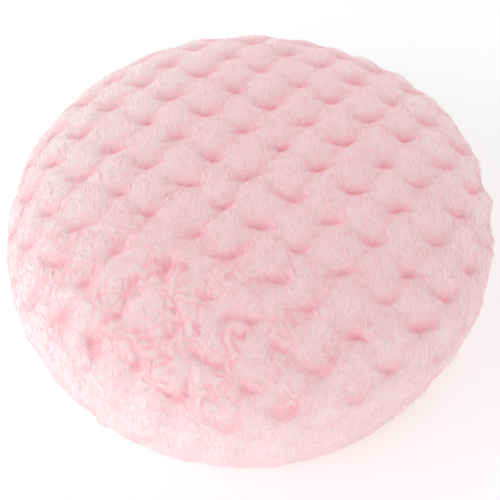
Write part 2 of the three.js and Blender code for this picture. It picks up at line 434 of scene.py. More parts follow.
@dataclass(frozen=True)
class PlushGround(Finish):
    """Knitted polyester ground seen between the fibres: matt, deeper pink as painted shade between the
    fibres, and deepest in the dimples' painted shade.
    """

    name: str = "knitted_plush_ground"
    # ends of the painted shade, from the pillows to the dimples
    pale: str = "#fee0e5"
    dimple_shade: str = "#ffbbc3"
    stitch_mm: float = 1.1
    stitch_depth_mm: float = 0.3
    mottle: float = 0.35

    def inputs(self, tree: Tree) -> Inputs:
        """Read the painted shade kept on the ground's points, and mottle it by the knit.

        Args:
            tree: The material's nodes.

        Returns:
            The shader's inputs.
        """
        # painted shade: lighter on the pillows, deeper pink in dimples, creases and gaps
        depth = node(tree, "Attribute", attribute_name=PAINTED_SHADE)
        ramped_colour = node(tree, "ValToRGB", {0: depth.outputs["Fac"]}, stops=[(0.0, self.pale), (1.0, self.dimple_shade)])
        space = node(tree, "TexCoord")
        knit = node(tree, "TexNoise", {
            "Vector": space.outputs["Object"], "Scale": 1 / (self.stitch_mm * MM), "Detail": 3.0,
        })
        mottled = node(tree, "Mix", {
            "Factor": self.mottle, MIX_A: ramped_colour.outputs["Color"], MIX_B: knit.outputs["Fac"],
        }, data_type="RGBA", blend_type="SOFT_LIGHT")
        bump = node(tree, "Bump", {
            "Strength": 0.4, "Distance": self.stitch_depth_mm * MM, "Height": knit.outputs["Fac"],
        })
        return {
            "Base Color": mottled.outputs[MIX_RESULT], "Normal": bump.outputs[0], "Roughness": 0.95,
            "Specular IOR Level": 0.1, "Sheen Weight": 0.2, "Sheen Roughness": 0.5,
        }


@dataclass(frozen=True)
class WovenSatin(Finish):
    """Polyester satin: long floating warps that lie side by side, so it gleams in a band across them."""

    name: str = "polyester_satin"
    light: str = "#f6c6ce"
    dark: str = "#e9a8b4"
    warp_mm: float = 0.45  # real warps are about 0.1 mm apart; drawn coarser so that they show
    warp_depth_mm: float = 0.1
    warp_tone: float = 0.35
    slub_mm: float = 6.0
    slub_stretch: float = 0.12
    dark_tone: float = 0.3
    light_tone: float = 0.95
    smoothest: float = 0.3
    roughest: float = 0.46

    def inputs(self, tree: Tree) -> Inputs:
        """Lay the warps along X on Object coordinates, with slubs drawn out along them.

        Args:
            tree: The material's nodes.

        Returns:
            The shader's inputs.
        """
        space = node(tree, "TexCoord")
        warps = node(tree, "TexWave", {
            "Vector": space.outputs["Object"],
            "Scale": math.pi / (10 * self.warp_mm * MM),  # at scale 1 a band repeats every pi / 10
            "Distortion": 1.2, "Detail": 2.0, "Detail Scale": 2.0,
        }, wave_type="BANDS", bands_direction="Y")
        drawn_out = node(tree, "Mapping", {
            "Vector": space.outputs["Object"], "Scale": (self.slub_stretch, 1.0, 1.0),
        })
        slubs = node(tree, "TexNoise", {
            "Vector": drawn_out.outputs[0], "Scale": 1 / (self.slub_mm * self.slub_stretch * MM),
            "Detail": 4.0, "Roughness": 0.6,
        })
        tone = node(tree, "Math", {
            0: warps.outputs["Fac"], 1: self.warp_tone, 2: slubs.outputs["Fac"],
        }, operation="MULTIPLY_ADD")
        ramped_colour = node(tree, "ValToRGB", {0: tone.outputs[0]}, stops=[
            (self.dark_tone, self.dark), (self.light_tone, self.light),
        ])
        bump = node(tree, "Bump", {
            "Strength": 0.25, "Distance": self.warp_depth_mm * MM, "Height": warps.outputs["Fac"],
        })
        rough = node(tree, "MapRange", {
            "Value": slubs.outputs["Fac"], "To Min": self.smoothest, "To Max": self.roughest,
        })
        return {
            "Base Color": ramped_colour.outputs["Color"], "Normal": bump.outputs[0], "Roughness": rough.outputs[0],
            "Specular IOR Level": 0.55, "Anisotropic": 0.6, "Sheen Weight": 0.15, "Sheen Roughness": 0.35,
        }


class Grain(Enum):
    """Textures that draw a grain; each gives it as its first output."""

    FIBRES = "TexNoise"
    CELLS = "TexVoronoi"


@dataclass(frozen=True)
class Grained(Finish):
    """A dull finish in two tones, coloured and raised by its own grain."""

    light: str = WHITE
    dark: str = WHITE
    grain: Grain = Grain.FIBRES
    grain_mm: float = 1.0
    depth_mm: float = 0.1
    detail: float = 0.0
    grit: float = 0.5
    tones: Span = (0.3, 0.7)
    raised: float = 0.3
    roughness: float = 0.9
    specular: float = 0.2
    sheen: float = 0.0
    sheen_roughness: float = 0.5

    def inputs(self, tree: Tree) -> Inputs:
        """Tone and raise the surface by its grain, on Object coordinates.

        Args:
            tree: The material's nodes.

        Returns:
            The shader's inputs.
        """
        space = node(tree, "TexCoord")
        grain = node(tree, self.grain.value, {
            "Vector": space.outputs["Object"], "Scale": 1 / (self.grain_mm * MM),
            "Detail": self.detail, "Roughness": self.grit,
        })
        toned = node(tree, "ValToRGB", {0: grain.outputs[0]}, stops=[
            (self.tones[0], self.dark), (self.tones[1], self.light),
        ])
        bump = node(tree, "Bump", {
            "Strength": self.raised, "Distance": self.depth_mm * MM, "Height": grain.outputs[0],
        })
        return {
            "Base Color": toned.outputs["Color"], "Normal": bump.outputs[0], "Roughness": self.roughness,
            "Specular IOR Level": self.specular, "Sheen Weight": self.sheen,
            "Sheen Roughness": self.sheen_roughness,
        }


@dataclass(frozen=True)
class SewingThread(Grained):
    """Spun polyester thread: soft two-ply twist with a dull lustre and a little fuzz."""

    name: str = "spun_polyester_thread"
    light: str = "#f3bcc6"
    dark: str = "#dd97a4"
    grain_mm: float = 0.15
    depth_mm: float = 0.05
    detail: float = 3.0
    roughness: float = 0.6
    specular: float = 0.4
    sheen: float = 0.25
    sheen_roughness: float = 0.4


@dataclass(frozen=True)
class PolyurethaneFoam(Grained):
    """Open-cell polyurethane foam: chalky cream, pricked all over with small cells, darker in their middles
    as painted shade in the pores.
    """

    name: str = "polyurethane_foam"
    light: str = "#f7f1e4"
    # the dark tone is painted shade in the pores
    dark: str = "#dccfb6"
    grain: Grain = Grain.CELLS
    grain_mm: float = 1.2
    depth_mm: float = 0.4
    tones: Span = (0.08, 0.4)
    raised: float = 0.6
    roughness: float = 0.92


@dataclass(frozen=True)
class Greyboard(Grained):
    """Pressed greyboard: dull recycled pulp with flecks and short fibres."""

    name: str = "pressed_greyboard"
    light: str = "#d8d1c3"
    dark: str = "#a99f8d"
    grain_mm: float = 0.8
    detail: float = 6.0
    grit: float = 0.7
    tones: Span = (0.32, 0.55)
    roughness: float = 0.88
    specular: float = 0.25


@dataclass(frozen=True)
class WhitePaper(Finish):
    """Matt white paper on the floor: it keeps the puff's shadow, and shows as white further off."""

    name: str = "matt_white_paper"
    sheet: str = "#f7f7f7"
    near_glow: float = 0.2
    far_glow: float = 0.8
    shadow_reach: float = 0.15  # metres
    white_reach: float = 0.6  # metres

    def inputs(self, tree: Tree) -> Inputs:
        """Let the paper glow for the camera alone, so that it lights nothing.

        Args:
            tree: The material's nodes.

        Returns:
            The shader's inputs.
        """
        ray = node(tree, "LightPath")
        space = node(tree, "TexCoord")
        away = node(tree, "VectorMath", {0: space.outputs["Object"]}, operation="LENGTH")
        glow = node(tree, "MapRange", {
            "Value": away.outputs["Value"], "From Min": self.shadow_reach, "From Max": self.white_reach,
            "To Min": self.near_glow, "To Max": self.far_glow,
        }, interpolation_type="SMOOTHSTEP")
        lift = node(tree, "Math", {0: ray.outputs["Is Camera Ray"], 1: glow.outputs[0]}, operation="MULTIPLY")
        return {
            "Base Color": linear(self.sheet), "Roughness": 1.0, "Specular IOR Level": 0.0,
            "Emission Color": linear(WHITE), "Emission Strength": lift.outputs[0],
        }


# Plush


@dataclass
class Meridian:
    """Half section of the puff over the tips of its pile, followed from the top to the mouth."""

    puff_radius: float = 45.0
    crown_height: float = 16.3
    skirt_height: float = 14.5
    crown_fullness: float = 2.86
    skirt_fullness: float = 2.2
    rest_radius: float = 38.0
    lip_radius: float = 3.0
    mouth_radius: float = 31.0
    plush_thickness: float = 7.0
    rest_level: float = 0.25
    crown_points: int = 3000
    skirt_points: int = 1500
    lip_points: int = 60
    table_step: float = 0.05
    widest: float = field(init=False)
    rest_start: float = field(init=False)
    end: float = field(init=False)
    table: Array = field(init=False)

    def __post_init__(self) -> None:
        """Lay out the section as a table of distance, radius, height and outward normal."""
        crown = self.crown(np.linspace(QUARTER_TURN, 0.0, self.crown_points))
        skirt = self.skirt(self.skirt_height * np.linspace(1.0, 0.0, self.skirt_points) ** 2)
        ring = np.array([(self.mouth_radius + self.lip_radius, 0.0)])
        turn = np.linspace(0.0, QUARTER_TURN, self.lip_points)[1:]
        lip = np.stack((
            self.mouth_radius + self.lip_radius * (1 - np.sin(turn)), self.lip_radius * (1 - np.cos(turn)),
        ), axis=1)
        wall = np.array([(self.mouth_radius, self.plush_thickness)])
        line = np.concatenate((crown, skirt[1:], ring, lip, wall))
        gone = travelled(line)
        self.widest = float(gone[len(crown) - 1])
        self.rest_start = float(gone[len(crown) + len(skirt) - 2])
        self.end = float(gone[-1])
        even = np.arange(0.0, self.end, self.table_step)
        radius, height = np.interp(even, gone, line[:, 0]), np.interp(even, gone, line[:, 1])
        run = unit(np.stack((np.gradient(radius), np.gradient(height)), axis=1))
        self.table = np.stack((even, radius, height, -run[:, 1], run[:, 0]))

    def crown(self, angles: Array, inset: float = 0.0) -> Array:
        """Points of the crown.

        Args:
            angles: From 0 at the widest line to a quarter turn at the top.
            inset: How far inside the section they are.

        Returns:
            Radius and height, one row each.
        """
        power = 2.0 / self.crown_fullness
        radius = (self.puff_radius - inset) * np.clip(np.cos(angles), 0, 1) ** power
        height = self.skirt_height + (self.crown_height - inset) * np.clip(np.sin(angles), 0, 1) ** power
        return np.stack((radius, height), axis=1)

    def skirt(self, heights: Array, inset: float = 0.0) -> Array:
        """Points of the skirt.

        Args:
            heights: Their heights.
            inset: How far inside the section they are.

        Returns:
            Radius and height, one row each.
        """
        power = self.skirt_fullness
        tuck = self.puff_radius - self.rest_radius
        share = 1.0 - (1.0 - np.clip(heights / self.skirt_height, 0, 1)) ** power
        return np.stack((self.rest_radius + tuck * share ** (1 / power) - inset, heights), axis=1)

    def lining(self, inset: float, bottom: float, wall_points: int, crown_points: int) -> Array:
        """Points inside the section, up its wall and over to the axis.

        Args:
            inset: How far inside the section they are.
            bottom: Height of the first.
            wall_points: How many there are up to the widest line.
            crown_points: How many there are from there to the axis, with the one at the widest line.

        Returns:
            Radius and height, one row each.
        """
        wall = self.skirt(np.linspace(bottom, self.skirt_height, wall_points), inset)
        crown = self.crown(np.linspace(0.0, QUARTER_TURN, crown_points), inset)[1:]
        crown[-1, 0] = 0.0
        return np.concatenate((wall, crown))

    def at(self, distance: Array) -> tuple[Array, Array, Array, Array]:
        """Look up the section.

        Args:
            distance: How far along the cloth from the top.

        Returns:
            Radius, height and the two parts of the outward normal.
        """
        even, *columns = self.table
        radius, height, outward, upward = (np.interp(distance, even, column) for column in columns)
        size = np.hypot(outward, upward)
        return radius, height, outward / size, upward / size

    def place(self, x: Array, y: Array, lift: Array | float) -> Array:
        """Wrap points of the flat cloth round the puff.

        Args:
            x: Places across the flat cloth, whose middle is the top of the puff.
            y: Places along it.
            lift: Height off the section, outwards.

        Returns:
            Places on the puff, one row each.
        """
        reach = np.maximum(np.hypot(x, y), TINY)
        radius, height, outward, upward = self.at(reach)
        out = radius + outward * lift
        return np.stack((out * x / reach, out * y / reach, height + upward * lift), axis=1)

    def rested(self, height: Array) -> Array:
        """Heights with what would sink into the table pressed flat above it, in the same order."""
        pressed = self.rest_level * np.exp(height / self.rest_level - 1)
        return np.where(height < self.rest_level, pressed, height)

    def axes(self, x: Array, y: Array) -> tuple[Array, Array, Array]:
        """Find how the flat cloth is turned where it lies on the puff.

        Args:
            x: Places across the flat cloth.
            y: Places along it.

        Returns:
            Directions on the puff of the flat cloth's two axes and of its outward normal, one row each.
        """
        reach = np.maximum(np.hypot(x, y), TINY)
        cos, sin = x / reach, y / reach
        _, _, outward, upward = self.at(reach)
        normal = np.stack((outward * cos, outward * sin, upward), axis=1)
        away = np.stack((upward * cos, upward * sin, -outward), axis=1)
        round_it = np.stack((-sin, cos, np.zeros_like(sin)), axis=1)
        along_x = away * cos[:, None] - round_it * sin[:, None]
        along_y = away * sin[:, None] + round_it * cos[:, None]
        return along_x, along_y, normal


class Bulge(NamedTuple):
    """A stretch of the rim that uneven filling pushes out, or lets in."""

    heading: float  # degrees round the puff
    spread: float  # degrees
    push: float


@dataclass(frozen=True)
class Embossing:
    """Staggered dimples pressed into the pile, with a pillow between each four, on the flat cloth."""

    pitch_across: float = 11.7
    pitch_along: float = 10.6
    turn: float = math.radians(8.3)
    shift_across: float = 6.3
    shift_along: float = -5.8
    wander_across: float = 0.5
    wander_along: float = 0.4
    mussed_wander: float = 1.3
    sag_depth: float = 0.5
    sag_half_width: float = 3.8
    sag_half_length: float = 2.8
    dimple_depth: float = 0.42
    dimple_half_width: float = 2.35
    dimple_near_edge: float = 0.5
    dimple_far_slope: float = 1.1
    dimple_wander: float = 0.8
    dimple_tilt: float = 0.22
    smiling_bend: Span = (0.12, 0.22)  # every other row of dimples is bent into crescents
    straight_bend: Span = (-0.1, 0.1)
    bend_reach: float = 4.0
    depth_shares: Span = (0.75, 1.15)
    width_shares: Span = (0.85, 1.15)
    # edges of the dimples' painted shade
    coral_near_edge: float = 0.45
    coral_far_edge: float = 1.1
    coral_squareness: float = 2.6
    crease_depth: float = 0.2
    cross_crease_depth: float = 0.1
    crease_sharpness: float = 2.4
    fade: Span = (40.0, 50.0)
    billow_depth: float = 0.25
    billow_start: Span = (36.0, 46.0)
    billow_end: Span = (60.0, 67.0)
    slack: float = -0.3
    filling: tuple[Bulge, ...] = (Bulge(30.0, 24.0, 1.1), Bulge(172.0, 26.0, -0.5), Bulge(-58.0, 30.0, -1.3))
    muss_heading: float = math.radians(250)
    muss_spread: float = math.radians(44)
    muss_reach: Span = (10.0, 26.0)
    muss_flattens: float = 0.6
    clump_height: float = 0.06
    small_clump_height: float = 0.03
    tuft_width: float = 2.1
    tuft_length: float = 2.3
    tuft_curl: float = 0.6
    web_width: float = 0.32
    web_patches: Span = (-0.7, 0.5)
    web_fade: Span = (36.0, 47.0)
    web_depth: float = 0.07
    # painted light: colour painted lighter at the left, and the dimples' painted shade lighter at the far
    # side, where the light falls most
    painted_light_across: float = -0.97
    painted_light_along: float = 0.25
    painted_light_reach: Span = (-4.0, 42.0)
    far_reach: Span = (5.0, 40.0)
    painted_light_fades: float = 0.3
    far_fades: float = 0.25
    # painted shade: deeper colour in the sags, dimples, creases, gaps between clumps and the web between
    # tufts
    sag_shade: float = 0.05
    dimple_shade_tint: float = 0.58
    crease_shade: float = 0.13
    cross_crease_shade: float = 0.06
    clump_gap_shade: float = 0.8
    web_shade: float = 0.85
    seed: int = 11

    def muss(self, x: Array, y: Array) -> Array:
        """How far handling has mussed the pile, from 0 to 1: most at the near left of the crown."""
        off = off_heading(np.arctan2(y, x), self.muss_heading)
        return smoothstep(np.hypot(x, y), *self.muss_reach) * bell(off, self.muss_spread)

    def painted_left_light(self, x: Array, y: Array) -> Array:
        """How far the pile is painted lighter where the light falls most, from 0 to 1: painted light, most at
        the left.
        """
        return smoothstep(self.painted_light_across * x + self.painted_light_along * y, *self.painted_light_reach)

    def tufted(self, x: Array, y: Array) -> Tuft:
        """Find the tuft of the mussed pile that each place belongs to.

        Args:
            x: Places across the flat cloth.
            y: Places along it.

        Returns:
            Each place's tuft, with curled edges.
        """
        curled_x = x + self.tuft_curl * ripple(x, y, wavelength=3.5, seed=14)
        curled_y = y + self.tuft_curl * ripple(x, y, wavelength=3.5, seed=15)
        return tufts(curled_x, curled_y, self.tuft_width, self.tuft_length, seed=31)

    def uneven(self, angle: Array) -> Array:
        """Find how far uneven filling pushes the rim out or lets it in.

        Args:
            angle: Places round the puff.

        Returns:
            The push at each of them.
        """
        push = np.full_like(angle, self.slack)
        for bulge in self.filling:
            off = np.degrees(off_heading(angle, math.radians(bulge.heading)))
            push += bulge.push * bell(off, bulge.spread)
        return push

    def rows(self, x: Array, y: Array, muss: Array) -> tuple[Array, Array]:
        """Turn places of the flat cloth into the dimples' own grid, whose rows wander.

        Args:
            x: Places across the flat cloth.
            y: Places along it.
            muss: How far the pile is mussed there.

        Returns:
            Places across and along the rows.
        """
        cos, sin = math.cos(self.turn), math.sin(self.turn)
        across = cos * x + sin * y - self.shift_across
        across += self.wander_across * ripple(x, y, wavelength=13, seed=3)
        across += self.mussed_wander * muss * ripple(x, y, wavelength=7, seed=4)
        along = cos * y - sin * x - self.shift_along
        along += self.wander_along * ripple(x, y, wavelength=15, seed=5)
        along += self.mussed_wander * muss * ripple(x, y, wavelength=7, seed=6)
        return across, along

    def diagonals(self, across: Array, along: Array) -> tuple[Array, Array]:
        """Places counted in dimples along the two slanting rows of the grid."""
        i, j = across / self.pitch_across, along / self.pitch_along
        return i + j, i - j

    def dimples(self, across: Array, along: Array) -> tuple[Array, Array, Array]:
        """Press the dimples, each bent, tilted and sized a little differently.

        Args:
            across: Places across the rows.
            along: Places along them.

        Returns:
            The sag round the dimples, the dimples, and their painted shade, each 0 outside and about 1
            inside.
        """
        p, q = self.diagonals(across, along)
        sagged, pressed, dimple_shade = (np.zeros_like(across) for _ in range(3))
        for dp, dq in product((0, 1), repeat=2):
            a, b = np.floor(p) + dp, np.floor(q) + dq
            draw = [scatter(a, b, self.seed + k) for k in range(5)]
            u = across - (a + b) * self.pitch_across / 2 - self.dimple_wander * (draw[0] - 0.5)
            v = along - (a - b) * self.pitch_along / 2 - self.dimple_wander * (draw[1] - 0.5)
            smiling = np.abs((a + b) % 2) < 0.5
            bends = (between(ends, draw[2]) for ends in (self.smiling_bend, self.straight_bend))
            bend = np.where(smiling, *bends)
            v = v - bend * u * u * bell(u, self.bend_reach) - self.dimple_tilt * (draw[3] - 0.5) * u
            deep = between(self.depth_shares, draw[4])
            width = self.dimple_half_width * between(self.width_shares, draw[2])
            slope = np.where(v < 0, self.dimple_near_edge, self.dimple_far_slope)
            edge = np.where(v < 0, self.coral_near_edge, self.coral_far_edge)
            sagged += bell(u, self.sag_half_width) * bell(v, self.sag_half_length)
            pressed += deep * bell(u, width) * bell(v, slope)
            # painted shade, deepest in each dimple
            dimple_shade += deep * np.exp(-(np.abs(u / width) ** self.coral_squareness)) * bell(v, edge)
        return sagged, pressed, dimple_shade

    def web(self, x: Array, y: Array, muss: Array) -> Array:
        """Find the gaps between the tufts of the mussed pile.

        Args:
            x: Places across the flat cloth.
            y: Places along it.
            muss: How far the pile is mussed there.

        Returns:
            How far each place is in a gap, from 0 to 1.
        """
        gap = 1 - smoothstep(self.tufted(x, y).inside, 0.0, self.web_width)
        patches = smoothstep(ripple(x, y, wavelength=8, seed=13), *self.web_patches)
        return gap * patches * muss * (1 - smoothstep(np.hypot(x, y), *self.web_fade))

    def relief(self, x: Array, y: Array) -> tuple[Array, Array]:
        """Work out the depth of the pressed pile and its painted shade.

        Args:
            x: Places across the flat cloth.
            y: Places along it.

        Returns:
            Height, 0 on the pillows and negative below them, and tint from 0 to 1: painted shade, lightened
            by painted light at the left and far side.
        """
        muss, reach = self.muss(x, y), np.hypot(x, y)
        across, along = self.rows(x, y, muss)
        diagonals = self.diagonals(across, along)
        cross_fold, fold = ((1 - np.abs(np.sin(math.pi * row))) ** self.crease_sharpness for row in diagonals)
        sagged, pressed, dimple_shade = self.dimples(across, along)
        shown = 1 - smoothstep(reach, *self.fade)
        keep = shown * (1 - self.muss_flattens * muss)
        clumps = self.clump_height * ripple(x, y, wavelength=5.5, seed=7)
        clumps += self.small_clump_height * ripple(x, y, wavelength=2.6, seed=8)
        clumps *= muss * np.sqrt(keep)
        web = self.web(x, y, muss)
        depth = self.crease_depth * fold + self.cross_crease_depth * cross_fold
        depth += self.sag_depth * sagged + self.dimple_depth * pressed
        height = clumps - keep * depth - self.web_depth * web
        rolling = smoothstep(reach, *self.billow_start) * (1 - smoothstep(reach, *self.billow_end))
        billows = self.billow_depth * ripple(x, y, wavelength=9, seed=9)
        height += rolling * (billows + self.uneven(np.arctan2(y, x)))
        # painted light: the dimples' painted shade is lighter at the left and far side
        dimple_shade *= 1 - self.painted_light_fades * self.painted_left_light(x, y) - self.far_fades * smoothstep(y, *self.far_reach)
        # painted shade in the sags, dimples and creases, then in the gaps between clumps and the web between
        # tufts
        tint = self.sag_shade * sagged + self.dimple_shade_tint * dimple_shade
        tint += self.crease_shade * fold + self.cross_crease_shade * cross_fold
        tint = shown * tint + self.clump_gap_shade * np.maximum(-clumps, 0) + self.web_shade * web
        return height, np.clip(tint, 0, 1)


@dataclass
class Relief:
    """The embossing worked out once over the flat cloth, so that every fibre can read it."""

    embossing: Embossing
    half: float = 70.0
    step: float = 0.14
    layers: Array = field(init=False)

    def __post_init__(self) -> None:
        """Lay out height, painted-shade tint and the two slopes on a fine grid."""
        ticks = np.arange(-self.half, self.half + self.step, self.step)
        height, tint = self.embossing.relief(*np.meshgrid(ticks, ticks))
        slope_y, slope_x = np.gradient(height, self.step)
        self.layers = np.stack((height, tint, slope_x, slope_y))

    def at(self, x: Array, y: Array) -> Array:
        """Look up the embossing between the points of the grid.

        Args:
            x: Places across the flat cloth.
            y: Places along it.

        Returns:
            Height, painted-shade tint, slope across and slope along, one row each.
        """
        top = self.layers.shape[1] - 1.001  # just inside the last square
        u, v = (np.clip((place + self.half) / self.step, 0, top) for place in (x, y))
        i, j = u.astype(int), v.astype(int)
        u, v = u - i, v - j
        low = self.layers[:, j, i] * (1 - u) + self.layers[:, j, i + 1] * u
        high = self.layers[:, j + 1, i] * (1 - u) + self.layers[:, j + 1, i + 1] * u
        return low * (1 - v) + high * v


@dataclass
class Strands:
    """Where the fibres of one zone grow on the flat cloth, and what sets them apart."""

    x: Array
    y: Array
    side: Array  # 0 on the crown, 1 from the widest line down
    loose: Array  # 0 where the nap is combed, 1 where it is mussed
    lock: Tuft
    tuft: Tuft
    draw: np.random.Generator


@dataclass(frozen=True)
class Nap:
    """How the fibres lie: combed to the near side, gathered in locks, and tousled where they are mussed."""

    sway: float = 0.22
    fine_sway: float = 0.16
    fibre_sway: float = 0.12
    tousle: float = 0.9
    tuft_turn: float = 1.6
    side_outwards: float = 0.8
    downhill: float = 0.35
    least_lean: float = 0.2
    lock_pull: Span = (0.12, 0.37)
    lock_pull_along: float = 0.5
    tuft_pull: Span = (0.2, 0.65)
    fibre_lift: float = 0.014
    lock_lift: float = 0.05
    tuft_lift: float = 0.055
    tuft_level: float = 0.6
    stray_share: float = 0.015
    stray_lift: Span = (0.15, 0.5)

    def gathered(self, grown: Strands) -> tuple[Array, Array]:
        """Draw the tips towards the middles of their locks and tufts.

        Args:
            grown: The fibres.

        Returns:
            Places of their tips on the flat cloth, across and along.
        """
        x, y, lock, tuft = grown.x, grown.y, grown.lock, grown.tuft
        to_lock = between(self.lock_pull, lock.one) * (1 - grown.loose)
        to_tuft = between(self.tuft_pull, tuft.one) * grown.loose
        tip_x = x + to_lock * (lock.x - x) + to_tuft * (tuft.x - x)
        tip_y = y + self.lock_pull_along * to_lock * (lock.y - y) + to_tuft * (tuft.y - y)
        return tip_x, tip_y

    def lean(self, grown: Strands, slope_x: Array, slope_y: Array) -> tuple[Array, Array]:
        """Lean the fibres with the nap, outwards on the side, and down the slopes of the embossing.

        Args:
            grown: The fibres.
            slope_x: Slope of the embossing at their tips, across.
            slope_y: Slope of it, along.

        Returns:
            The way from root to tip on the flat cloth, across and along.
        """
        x, y, loose = grown.x, grown.y, grown.loose
        heading = self.sway * ripple(x, y, wavelength=11, seed=41) - QUARTER_TURN
        heading += self.fine_sway * ripple(x, y, wavelength=3.2, seed=42)
        heading += loose * self.tousle * ripple(x, y, wavelength=5.5, seed=43)
        heading += loose * self.tuft_turn * (grown.tuft.two - 0.5)
        heading += grown.draw.normal(0, self.fibre_sway, len(x))
        out = self.side_outwards * grown.side
        reach = np.maximum(np.hypot(x, y), TINY)
        fall = self.downhill / np.maximum(np.hypot(slope_x, slope_y), 1.0)
        lean_x = np.cos(heading) * (1 - out) + out * x / reach - fall * slope_x
        lean_y = np.sin(heading) * (1 - out) + out * y / reach - fall * slope_y
        size = np.maximum(np.hypot(lean_x, lean_y), self.least_lean)
        return lean_x / size, lean_y / size

    def lift(self, grown: Strands) -> Array:
        """Lift the tips: locks and tufts have levels of their own, and a few fibres stray.

        Args:
            grown: The fibres.

        Returns:
            How far each tip is off the embossing.
        """
        draw, count = grown.draw, len(grown.x)
        lift = draw.normal(0, self.fibre_lift, count)
        lift += self.lock_lift * (grown.lock.two - 0.5) * (1 - grown.loose)
        lift += self.tuft_lift * (grown.tuft.two - self.tuft_level) * grown.loose
        strays = draw.uniform(0, 1, count) < self.stray_share
        return lift + np.where(strays, draw.uniform(*self.stray_lift, count), 0.0)


@dataclass(frozen=True)
class PileDyeAndPaintedLight:
    """How deep the pile is coloured apart from its embossing, as a share of the palette: painted light makes
    it lighter outwards, at the far rim and at the left, and its own colour is uneven among locks, fibres and
    tufts.
    """

    middle: float = 0.33
    # painted light: lighter outwards, at the far rim and at the left
    outer: float = 0.1
    outer_reach: Span = (12.0, 45.0)
    painted_far_rim_light: float = 0.12
    far_reach: Span = (28.0, 50.0)
    far_skew: float = 0.4
    far_start: Span = (-12.0, 20.0)
    left: float = 0.17
    # the pile's own uneven colour among locks, fibres and tufts
    lock: float = 0.1
    fibre: float = 0.03
    tuft: float = 0.12

    def shade(self, grown: Strands, painted_left_light: Array) -> Array:
        """Colour the fibres: painted lighter outwards, at the left and at the far rim as painted light, and
        uneven among locks and tufts as their own colour.

        Args:
            grown: The fibres.
            painted_left_light: How far light is painted on there, making the colour lighter.

        Returns:
            Each fibre's shade.
        """
        reach = np.hypot(grown.x, grown.y)
        far = smoothstep(reach, *self.far_reach)
        far *= smoothstep(grown.y + self.far_skew * grown.x, *self.far_start)
        # painted light: lighter outwards, at the far rim and at the left
        shade = self.middle - self.outer * smoothstep(reach, *self.outer_reach)
        shade -= self.painted_far_rim_light * far + self.left * painted_left_light
        shade += self.lock * (grown.lock.one - 0.5) + self.tuft * grown.loose * (0.5 - grown.tuft.two)
        return shade + grown.draw.normal(0, self.fibre, len(reach))


